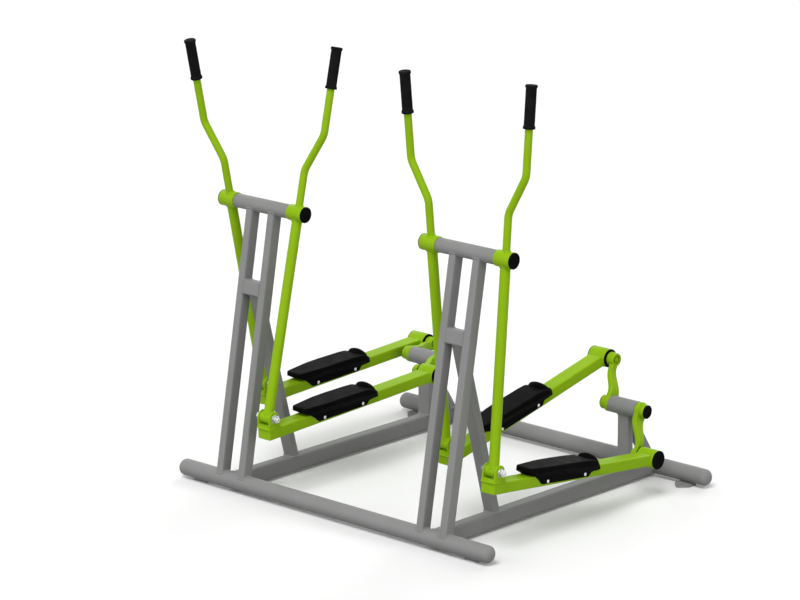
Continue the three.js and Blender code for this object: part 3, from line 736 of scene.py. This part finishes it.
def column_line(pivot):
    """The foot of the columns' middle line and its lean from upright."""
    foot = Vector((0, front_y + column_foot_shift, base_axis_height))
    head = Vector((0, pivot.y + column_head_shift, pivot.z))
    return foot, math.atan2(head.y - foot.y, head.z - foot.z)


def uprights(station, x, pivot):
    foot, lean = column_line(pivot)
    turn = Matrix.Rotation(-lean, 4, "X")
    up = turn.to_3x3() @ z_axis
    ahead = turn.to_3x3() @ y_axis
    for name, side in sides.items():
        place = Matrix.Translation(foot + Vector((x + side * column_spacing / 2, 0, 0))) @ turn
        welded_member(
            f"{station}_column_{name}", rounded_section(column_width, column_depth), place,
            tube_cut(front_y, base_axis_height, base_tube_radius, 1),
            tube_cut(pivot.y, pivot.z, pivot_tube_radius, -1))

    middle = foot + up * bridge_rise + Vector((x, 0, 0))
    reach = x_axis * ((column_spacing - column_width) / 2)
    welded_member(
        f"{station}_bridge", rounded_section(bridge_height, column_depth),
        Matrix.Translation(middle) @ turn @ Matrix.Rotation(math.pi / 2, 4, "Y"),
        plane_cut(middle - reach, x_axis), plane_cut(middle + reach, x_axis))

    bridge_foot = foot + up * (bridge_rise - bridge_height / 2) + Vector((x, 0, 0))
    head = bridge_foot + ahead * brace_head_shift
    brace_foot = Vector((x, front_y + brace_foot_setback, rail_top))
    line = head - brace_foot
    tilt = math.atan2(line.y, line.z)
    welded_member(
        f"{station}_brace", rounded_section(brace_width, brace_depth),
        Matrix.Translation(brace_foot) @ Matrix.Rotation(-tilt, 4, "X"),
        plane_cut(brace_foot, z_axis), plane_cut(bridge_foot, up))

    round_tube(f"{station}_pivot_tube", pivot_tube_length, pivot_tube_radius,
               Matrix.Translation((x, pivot.y, pivot.z)))


# Crank stand

def crank_stand(station, x, axis):
    round_tube(f"{station}_crank_housing", crank_housing_length, crank_housing_radius,
               Matrix.Translation(axis))

    section = rounded_section(post_width, post_depth)
    foot = Vector((x, axis.y, rail_top))
    welded_member(
        f"{station}_post", section, Matrix.Translation(foot),
        plane_cut(foot, z_axis), tube_cut(axis.y, axis.z, crank_housing_radius, -1))

    along = Vector((0, math.cos(strut_angle), -math.sin(strut_angle)))
    start = axis + Vector((0, along.z, -along.y)) * strut_axis_offset
    turn = z_axis.rotation_difference(along).to_matrix().to_4x4()
    post_back = plane_cut(axis + y_axis * (post_depth / 2), y_axis)
    housing = tube_cut(axis.y, axis.z, crank_housing_radius, 1)
    top = plane_cut(foot, z_axis)
    tube = tube_cut(rear_y, base_axis_height, base_tube_radius, -1)
    welded_member(
        f"{station}_strut", section, Matrix.Translation(start) @ turn,
        lambda p, d: max(post_back(p, d), housing(p, d)),
        lambda p, d: min(top(p, d), tube(p, d)))


# Swing arms

def swan_neck(side):
    """Points of the upper tube's middle line and its lean at each, in the arm's frame."""
    slope = Vector((side * math.sin(bend_angle), 0, math.cos(bend_angle)))
    out = bend_radius * (1 - math.cos(bend_angle))
    rise = bend_radius * math.sin(bend_angle)
    run = (bend_shift - 2 * out) / math.sin(bend_angle)
    second = Vector((side * out, 0, bend_start + rise)) + slope * run
    line = [(Vector((0, 0, 0)), 0.0)]
    for k in range(bend_steps + 1):
        turn = bend_angle * k / bend_steps
        across = bend_radius * (1 - math.cos(turn))
        up = bend_start + bend_radius * math.sin(turn)
        line.append((Vector((side * across, 0, up)), turn))
    for k in range(bend_steps + 1):
        turn = bend_angle * (1 - k / bend_steps)
        across = bend_radius * (math.cos(turn) - math.cos(bend_angle))
        up = rise - bend_radius * math.sin(turn)
        line.append((second + Vector((side * across, 0, up)), turn))
    line.append((Vector((side * bend_shift, 0, grip_top - neck_end_depth)), 0.0))
    return line


def swing_arm(station, side_name, side, place, drop):
    body = f"{station}_swing_arm_{side_name}"
    shell = Shell()
    hub_half = swing_hub_length / 2
    shell.revolve(rod_profile(-hub_half, hub_half, swing_hub_radius), place)
    section = circle(upper_tube_radius, neck_sides)
    rings = []
    for point, turn in swan_neck(side):
        out = Vector((math.cos(turn), 0, -side * math.sin(turn)))
        rings.append([place @ (point + out * q.x + y_axis * q.y) for q in section])
    shell.loft(rings)
    shell.bead([place @ Vector((q.x, q.y, math.sqrt(swing_hub_radius ** 2 - q.y ** 2)))
                for q in section])
    section = circle(lower_tube_radius, leg_sides)
    leg_top = [place @ Vector((q.x, q.y, -math.sqrt(swing_hub_radius ** 2 - q.y ** 2)))
               for q in section]
    leg_foot = [place @ Vector((q.x, q.y, math.sqrt(sleeve_radius ** 2 - q.y ** 2) - drop))
                for q in section]
    shell.loft([leg_top, leg_foot])
    shell.bead(leg_top)
    shell.bead(leg_foot)
    sleeve_half = slot_width / 2 - side_gap
    shell.revolve(rod_profile(-sleeve_half, sleeve_half, sleeve_radius),
                  place @ Matrix.Translation((0, 0, -drop)))
    fine(body, shell, "green_steel", body)

    shell = Shell()
    upright = Matrix.Translation((side * bend_shift, 0, 0)) @ Matrix.Rotation(-math.pi / 2, 4, "Y")
    shell.revolve(grip_profile(), place @ upright)
    fine(f"{station}_grip_{side_name}", shell, "grip_rubber", body)
    cap_place = place @ Matrix.Translation((side * hub_half, 0, 0))
    fine(f"{station}_swing_hub_cap_{side_name}", cap(swing_hub_radius, side, cap_place),
         "cap_plastic", body)


def grip_profile():
    """A rubber grip with a collar at either end, from its foot to its top along X."""
    base = grip_top - grip_length
    slope = grip_collar_width + grip_collar_slope
    corners = [(base, 0), (base, grip_collar_radius),
               (base + grip_collar_width, grip_collar_radius), (base + slope, grip_radius),
               (grip_top - slope, grip_radius),
               (grip_top - grip_collar_width, grip_collar_radius),
               (grip_top, grip_collar_radius), (grip_top, 0)]
    rounds = [0, edge_round] + [grip_round] * 5 + [0]
    return soften([Vector(c) for c in corners], rounds, grip_steps)


def cap(radius, side, place):
    """A push-in cap: a rounded rim, a shallow groove and a slightly crowned middle."""
    corners = [(weld_gap, 0), (weld_gap, radius)]
    corners += [(cap_thickness * high, radius * wide) for high, wide in cap_crown]
    shell = Shell()
    shell.revolve(soften([Vector(c) for c in corners], cap_rounds),
                  place @ Matrix.Diagonal((side, 1, 1, 1)))
    return shell


# Pedals

def arm_tilt(length):
    return math.atan2(pedal_arm_drop, length)


def arm_top(along, length):
    """The height of the arm's upper face at a distance behind the clevis bolt."""
    tilt = arm_tilt(length)
    return along * math.tan(tilt) - pedal_arm_drop + pedal_arm_depth / 2 / math.cos(tilt)


def across_x(place):
    """Turns a plate's drawing plane into the side view, with its thickness along X."""
    return place @ Matrix(((0, 0, 1, 0), (1, 0, 0, 0), (0, 1, 0, 0), (0, 0, 0, 1)))


def pedal_arm(station, side_name, side, place, length):
    body = f"{station}_pedal_{side_name}"
    shell = Shell()
    turn = Matrix.Rotation(arm_tilt(length) - math.pi / 2, 4, "X")
    along = Matrix.Translation((0, 0, -pedal_arm_drop)) @ turn
    section = rounded_section(pedal_arm_width, pedal_arm_depth, pedal_arm_corner)
    inset = moved_in(section, edge_round)
    hub_distance = math.hypot(length, pedal_arm_drop)
    levels = [(inset, -pedal_arm_front_reach), (section, edge_round - pedal_arm_front_reach),
              (section, hub_distance - pedal_hub_radius * pedal_arm_hub_share)]
    shell.loft([[place @ along @ Vector((*p, z)) for p in ring] for ring, z in levels])
    hub_place = place @ Matrix.Translation((0, length, 0))
    half = pedal_hub_length / 2
    shell.revolve(rod_profile(-half, half, pedal_hub_radius, rim_round), hub_place)

    front = Vector((-clevis_front_reach, -web_drop))
    low = [Vector((-clevis_front_reach, arm_top(-clevis_front_reach, length) - overlap)),
           Vector((clevis_rear_reach, arm_top(clevis_rear_reach, length) - overlap)),
           Vector((clevis_rear_reach, arm_top(clevis_rear_reach, length) + clevis_toe_height))]
    turns = (ear_flare + (math.pi - ear_flare) * k / ear_steps for k in range(ear_steps + 1))
    arc = [Vector((ear_radius * math.cos(t), ear_radius * math.sin(t))) for t in turns]
    ear = slot_width / 2
    outer = pedal_arm_width / 2
    for near, far in ((-outer, -ear), (ear, outer)):
        shell.plate(low + arc + [front], near, far, across_x(place))
    web = low + [Vector((clevis_rear_reach * web_slope_share, -web_drop)), front]
    shell.plate(web, -ear - overlap, ear + overlap, across_x(place), bevel=web_bevel)

    run = along.to_3x3() @ z_axis
    cut = tube_cut(length, 0, pedal_hub_radius, -1)
    ring = [along @ Vector((*p, 0)) for p in section]
    seam = [p + run * min(cut(p, run), hub_distance) for p in ring]
    shell.bead([place @ p for p in seam])
    bead_half = outer * clevis_bead_share
    seat = [(-bead_half, -clevis_front_reach), (bead_half, -clevis_front_reach),
            (bead_half, clevis_rear_reach), (-bead_half, clevis_rear_reach)]
    shell.bead([place @ Vector((x, y, arm_top(y, length))) for x, y in seat],
               radius=clevis_bead_radius)
    fine(f"{station}_pedal_arm_{side_name}", shell, "green_steel", body)
    cap_place = hub_place @ Matrix.Translation((side * half, 0, 0))
    fine(f"{station}_pedal_hub_cap_{side_name}", cap(pedal_hub_radius, side, cap_place),
         "cap_plastic", body)


# Clevis bolts

def nut(shell, place):
    """A hexagon nut with both faces chamfered to a cone, from 0 to its height along X."""
    flat = nut_across_flats / 2
    rings = []
    for share in nut_levels:
        near_face = min(share, 1 - share) * nut_height
        cone = flat * nut_face + near_face * nut_chamfer_slope
        ring = []
        for k in range(nut_sides):
            t = 2 * math.pi * k / nut_sides
            from_flat = (t % (math.pi / 3)) - math.pi / 6
            r = min(flat / math.cos(from_flat), cone)
            ring.append(place @ Vector((share * nut_height, r * math.cos(t), r * math.sin(t))))
        rings.append(ring)
    shell.loft(rings)


def threaded_profile(low, high):
    """A bolt's threaded end along X, with a chamfered tip."""
    root = bolt_radius - thread_depth
    profile = [(low, 0), (low, root)]
    for k in range(int((high - low) / thread_pitch)):
        x = low + k * thread_pitch
        profile.append((x + thread_pitch * thread_root, root))
        profile.append((x + thread_pitch * thread_crest, bolt_radius))
    return profile + [(high - thread_end, root), (high, root - thread_depth), (high, 0)]


def clevis_bolt(station, side_name, place):
    body = f"{station}_pedal_{side_name}"
    shell = Shell()
    washer_inner = pedal_arm_width / 2 + weld_gap
    washer_outer = washer_inner + washer_thickness
    nut_outer = washer_outer + nut_height
    shell.revolve(rod_profile(-washer_inner, washer_inner, bolt_radius, bolt_round), place)
    for side in sides.values():
        out = place @ Matrix.Diagonal((side, 1, 1, 1))
        shell.revolve(rod_profile(washer_inner, washer_outer, washer_radius, washer_round), out)
        nut(shell, out @ Matrix.Translation((washer_outer, 0, 0)))
        shell.revolve(threaded_profile(nut_outer - overlap, nut_outer + bolt_tip), out)
    fine(f"{station}_clevis_bolt_{side_name}", shell, "zinc_steel", body)


# Footplates

def along_table(table, at):
    """The value of a table of (place, value) pairs at a place, straight between its rows."""
    for (a, low), (b, high) in zip(table, table[1:]):
        if at <= b:
            return low + (high - low) * max(0, at - a) / (b - a)
    return table[-1][1]


def softened_table(table, at, spread):
    """The same with its corners rounded off over the spread to either side."""
    weights = (1, 2, 3, 2, 1)
    values = (along_table(table, at + spread * share) for share in (-1, -0.5, 0, 0.5, 1))
    return sum(w * v for w, v in zip(weights, values)) / sum(weights)


def rounding(distance, radius):
    """How far a rounded rim draws in at a distance from its end."""
    if distance >= radius:
        return 0
    return radius - math.sqrt(radius ** 2 - (radius - max(distance, 0)) ** 2)


def footplate_ring(at, length):
    """The section at a distance from the toe, as (across, up) points."""
    share = at / footplate_length
    to_heel = footplate_length - at
    half = footplate_width / 2
    toe_half = footplate_toe_width / 2
    widening = [(0, toe_half), (widest_share, half), (1, half)]
    wide = softened_table(widening, share, width_spread)
    wide -= rounding(at, footplate_toe_radius) + rounding(to_heel, footplate_heel_radius)
    end = rounding(min(at, to_heel), footplate_edge)
    down = softened_table(top_shares, share, top_spread)
    past = min(max((at - heel_fall_place) / heel_fall_length, 0), 1)
    fall = heel_fall * (1 - math.sqrt(1 - past ** 2))
    top = footplate_tread_height - down * footplate_depth - end - fall
    drop = softened_table(foot_shares, share, foot_spread) * footplate_depth
    foot = footplate_tread_height - drop + end
    arm_side = pedal_arm_width / 2 + weld_gap
    skirt = arm_side + footplate_skirt
    inner = min(arm_side, wide * inner_share)
    roof = max(foot, arm_top(footplate_toe_reach + at, length) + weld_gap)
    if wide < arm_side and at > hump_place:
        foot = roof
    shoulder = footplate_tread_height - shoulder_share * footplate_depth
    flank_foot = footplate_tread_height - flank_foot_share * footplate_depth

    def flank(height):
        share_down = (shoulder - height) / (shoulder - flank_foot)
        return min(wide, half + (skirt - half) * min(max(share_down, 0), 1))

    def crown(x):
        from_middle = (at - hump_place) / (hump_front if at < hump_place else hump_back)
        hump = hump_height * math.sqrt(max(0, 1 - (x / hump_half_width) ** 2 - from_middle ** 2))
        lip = roof + skin - max(0, x - inner) * lip_slope
        return max(top + hump, lip, foot + skin)

    ring = []
    for k in range(crown_steps + 1):
        x = wide * math.sin(math.pi / 2 * k / crown_steps)
        ring.append(Vector((x, crown(x) - rounding(wide - x, footplate_edge))))
    turn_height = max(shoulder - (half - wide) / (half - skirt) * (shoulder - flank_foot), foot)
    low = max(flank_foot, foot)
    corners = [ring[-1], Vector((wide, min(turn_height, ring[-1].y))),
               Vector((flank(low), low)), Vector((flank(foot), foot)),
               Vector((inner, foot)), Vector((inner, roof)), Vector((0, roof))]
    right = ring[:-1] + soften(corners, flank_rounds)
    left = [Vector((-p.x, p.y)) for p in reversed(right[1:-1])]
    return right + left


def footplate(station, side_name, place, length):
    body = f"{station}_pedal_{side_name}"
    shell = Shell()
    ends = footplate_end_places
    span = footplate_length - 2 * ends[-1]
    middle = [ends[-1] + span * k / footplate_steps for k in range(1, footplate_steps)]
    from_heel = [footplate_length - e for e in reversed(ends)]
    rings = []
    for at in ends + middle + from_heel:
        ring = footplate_ring(at, length)
        rings.append([place @ Vector((p.x, footplate_toe_reach + at, p.y)) for p in ring])
    shell.loft(rings)
    fine(f"{station}_footplate_{side_name}", shell, "footplate_plastic", body)

    shell = Shell()
    skirt = pedal_arm_width / 2 + weld_gap + footplate_skirt
    flange = bolt_head_radius * bolt_flange_share
    rim = skirt + bolt_flange_thickness
    corners = [(skirt - overlap, 0), (skirt - overlap, flange), (rim, flange),
               (rim, bolt_head_radius)]
    corners += [(skirt + bolt_head_height * high, bolt_head_radius * wide)
                for high, wide in bolt_dome]
    profile = soften([Vector(c) for c in corners], bolt_rounds)
    for along, down in bolt_shares:
        spot = Vector((0, footplate_toe_reach + along * footplate_length,
                       footplate_tread_height - down * footplate_depth))
        for side in sides.values():
            out = place @ Matrix.Translation(spot) @ Matrix.Diagonal((side, 1, 1, 1))
            shell.revolve(profile, out, small_sides)
    made_piece(f"{station}_footplate_bolts_{side_name}", shell, "zinc_steel", body)


# Cranks

def crank_arm(station, side_name, side, place, eye_outer, radius):
    """A crank arm in the frame of its shaft, drawn straight down and outboard towards +X."""
    body = f"{station}_crank"
    out = place @ Matrix.Diagonal((side, 1, 1, 1))
    shell = Shell()
    inner = crank_housing_length / 2 + side_gap
    eye_inner = eye_outer - crank_eye_thickness
    root = inner + crank_web_thickness / 2 + crank_web_inset
    foot = eye_inner + crank_web_thickness / 2 + crank_web_inset
    bend = crank_bend_end - crank_bend_start
    root_width = 2 * crank_head_radius - crank_web_corner
    rings = []
    for k in range(crank_web_steps + 1):
        down = (radius - crank_web_end) * k / crank_web_steps
        share = min(max((down - crank_bend_start) / bend, 0), 1)
        shift = (1 - math.cos(math.pi * share)) / 2
        tilt = math.atan2(math.pi / 2 * math.sin(math.pi * share) * (foot - root), bend)
        taper = min(down / crank_bend_end, 1)
        wide = root_width + (crank_web_eye_width - root_width) * taper
        spot = Vector((root + (foot - root) * shift, 0, -down))
        across = Vector((math.cos(tilt), 0, math.sin(tilt)))
        section = rounded_section(crank_web_thickness, wide, crank_web_corner,
                                  crank_web_side_steps)
        rings.append([out @ (spot + across * p.x + y_axis * p.y) for p in section])
    shell.loft(rings)
    head_outer = inner + crank_web_thickness + 2 * crank_web_inset
    shell.revolve(rod_profile(inner, head_outer, crank_head_radius, crank_web_corner), out)
    hub_outer = inner + crank_hub_length
    shell.revolve(rod_profile(inner, hub_outer, crank_hub_radius, crank_hub_round), out)
    neck = eye_outer - crank_eye_neck_length
    floor = eye_inner + eye_recess_depth
    eye = [(eye_outer, 0), (eye_outer, crank_eye_neck), (neck, crank_eye_neck),
           (neck, crank_eye_radius), (eye_inner, crank_eye_radius * crank_eye_inner_share),
           (eye_inner, eye_recess_radius), (floor, eye_recess_radius), (floor, 0)]
    pin = out @ Matrix.Translation((0, 0, -radius))
    shell.revolve(soften([Vector(c) for c in eye], crank_eye_rounds), pin)
    shell.revolve(rod_profile(floor - pin_head_height, floor + overlap, pin_head_radius,
                              rim_round), pin)
    fine(f"{station}_crank_arm_{side_name}", shell, "green_steel", body)

    shell = Shell()
    shell.revolve(ring_profile(eye_outer - seal_thickness, eye_outer, seal_radius, seal_bore,
                               seal_round), pin, closed=True)
    made_piece(f"{station}_crank_seal_{side_name}", shell, "cap_plastic", body)
    cap_place = place @ Matrix.Translation((side * hub_outer, 0, 0))
    made_piece(f"{station}_crank_cap_{side_name}", cap(crank_cap_radius, side, cap_place),
               "cap_plastic", body)


# Camera and light

def look():
    """The scene camera, where the photograph was taken from."""
    data = bpy.data.cameras.new("camera")
    data.lens = camera_lens
    data.sensor_width = sensor_width
    data.clip_end = camera_sight
    eye = bpy.data.objects.new("camera", data)
    az, el = camera_azimuth, camera_elevation
    ahead = Vector((-math.sin(az) * math.cos(el), math.cos(az) * math.cos(el), -math.sin(el)))
    right = Vector((math.cos(az), math.sin(az), 0))
    up = right.cross(ahead)
    c, s = math.cos(camera_roll), math.sin(camera_roll)
    level_right, level_up = c * right + s * up, c * up - s * right
    turn = Matrix((level_right, level_up, -ahead)).transposed().to_4x4()
    eye.matrix_world = Matrix.Translation(camera_place) @ turn
    bpy.context.scene.collection.objects.link(eye)
    bpy.context.scene.camera = eye


def soft_sun(name, towards, spread, strength):
    """A wide soft lamp far away, which lights the object and the floor alike."""
    data = bpy.data.lights.new(name, "SUN")
    data.angle = math.radians(spread)
    data.energy = strength
    lamp = bpy.data.objects.new(name, data)
    lamp.rotation_mode = "QUATERNION"
    lamp.rotation_quaternion = Vector(towards).normalized().to_track_quat("Z", "Y")
    bpy.context.scene.collection.objects.link(lamp)


def seen_rays(tree):
    """1 for the rays that the camera or a glossy surface sends out, else 0."""
    rays = linked_node(tree, "ShaderNodeLightPath")
    return linked_node(tree, "ShaderNodeMath", {
        0: (rays, "Is Camera Ray"), 1: (rays, "Is Glossy Ray"),
    }, operation="MAXIMUM"), "Value"


def studio():
    """A white world and a white floor, which give the object less light than they show."""
    scene = bpy.context.scene
    scene.view_settings.view_transform = "Standard"
    world = bpy.data.worlds.new("studio")
    scene.world = world
    world.use_nodes = True
    tree = world.node_tree
    back = tree.nodes["Background"]
    level = ramp(tree, seen_rays(tree), world_level, 1.0)
    tree.links.new(level.outputs["Result"], back.inputs["Strength"])
    back.inputs["Color"].default_value = (1, 1, 1, 1)

    far = floor_reach
    mesh = bpy.data.meshes.new("floor")
    corners = [(-far, -far, 0), (far, -far, 0), (far, far, 0), (-far, far, 0)]
    mesh.from_pydata(corners, [], [(0, 1, 2, 3)])
    floor = bpy.data.objects.new("floor", mesh)
    scene.collection.objects.link(floor)
    made, tree, shader = shader_tree("floor")
    shader.inputs["Roughness"].default_value = 0.9
    shader.inputs["Specular IOR Level"].default_value = 0.1
    tone = ramp(tree, seen_rays(tree), floor_tone, 1.0)
    tree.links.new(tone.outputs["Result"], shader.inputs["Base Color"])
    mesh.materials.append(made)


look()
studio()
for name, towards, spread, strength in suns:
    soft_sun(name, towards, spread, strength)

for row in frame["record"]["subparts"]:
    materials = frame["nodes"][row["node"]].data.materials
    materials.clear()
    materials.append(finishes[row["material_slot"]])

base_tube("front_tube", front_y, turn=0)
base_tube("rear_tube", rear_y, turn=math.pi)
for station in stations:
    crank_axis = joint_places[f"{station}_crank_spin"]
    x = crank_axis.x
    pivot = joint_places[f"{station}_swing_left"]
    rail(station, x)
    uprights(station, x, pivot)
    crank_stand(station, x, crank_axis)
    for side_name, side in sides.items():
        pivot = joint_places[f"{station}_swing_{side_name}"]
        clevis = joint_places[f"{station}_pedal_hinge_{side_name}"]
        pin = centre(f"{station}_pedal_pin_{side_name}")
        swing_turn = math.atan2(clevis.y - pivot.y, pivot.z - clevis.z)
        drop = math.hypot(clevis.y - pivot.y, clevis.z - pivot.z)
        swing_arm(station, side_name, side,
                  Matrix.Translation(pivot) @ Matrix.Rotation(swing_turn, 4, "X"), drop)
        pedal_turn = math.atan2(pin.z - clevis.z, pin.y - clevis.y)
        length = math.hypot(pin.z - clevis.z, pin.y - clevis.y)
        pedal_place = Matrix.Translation(clevis) @ Matrix.Rotation(pedal_turn, 4, "X")
        pedal_arm(station, side_name, side, pedal_place, length)
        clevis_bolt(station, side_name, pedal_place)
        footplate(station, side_name, pedal_place, length)
        crank_turn = math.atan2(pin.y - crank_axis.y, crank_axis.z - pin.z)
        crank_place = Matrix.Translation(crank_axis) @ Matrix.Rotation(crank_turn, 4, "X")
        eye_outer = abs(pivot.x - x) - pedal_hub_length / 2 - side_gap
        crank_arm(station, side_name, side, crank_place, eye_outer,
                  math.hypot(pin.y - crank_axis.y, pin.z - crank_axis.z))
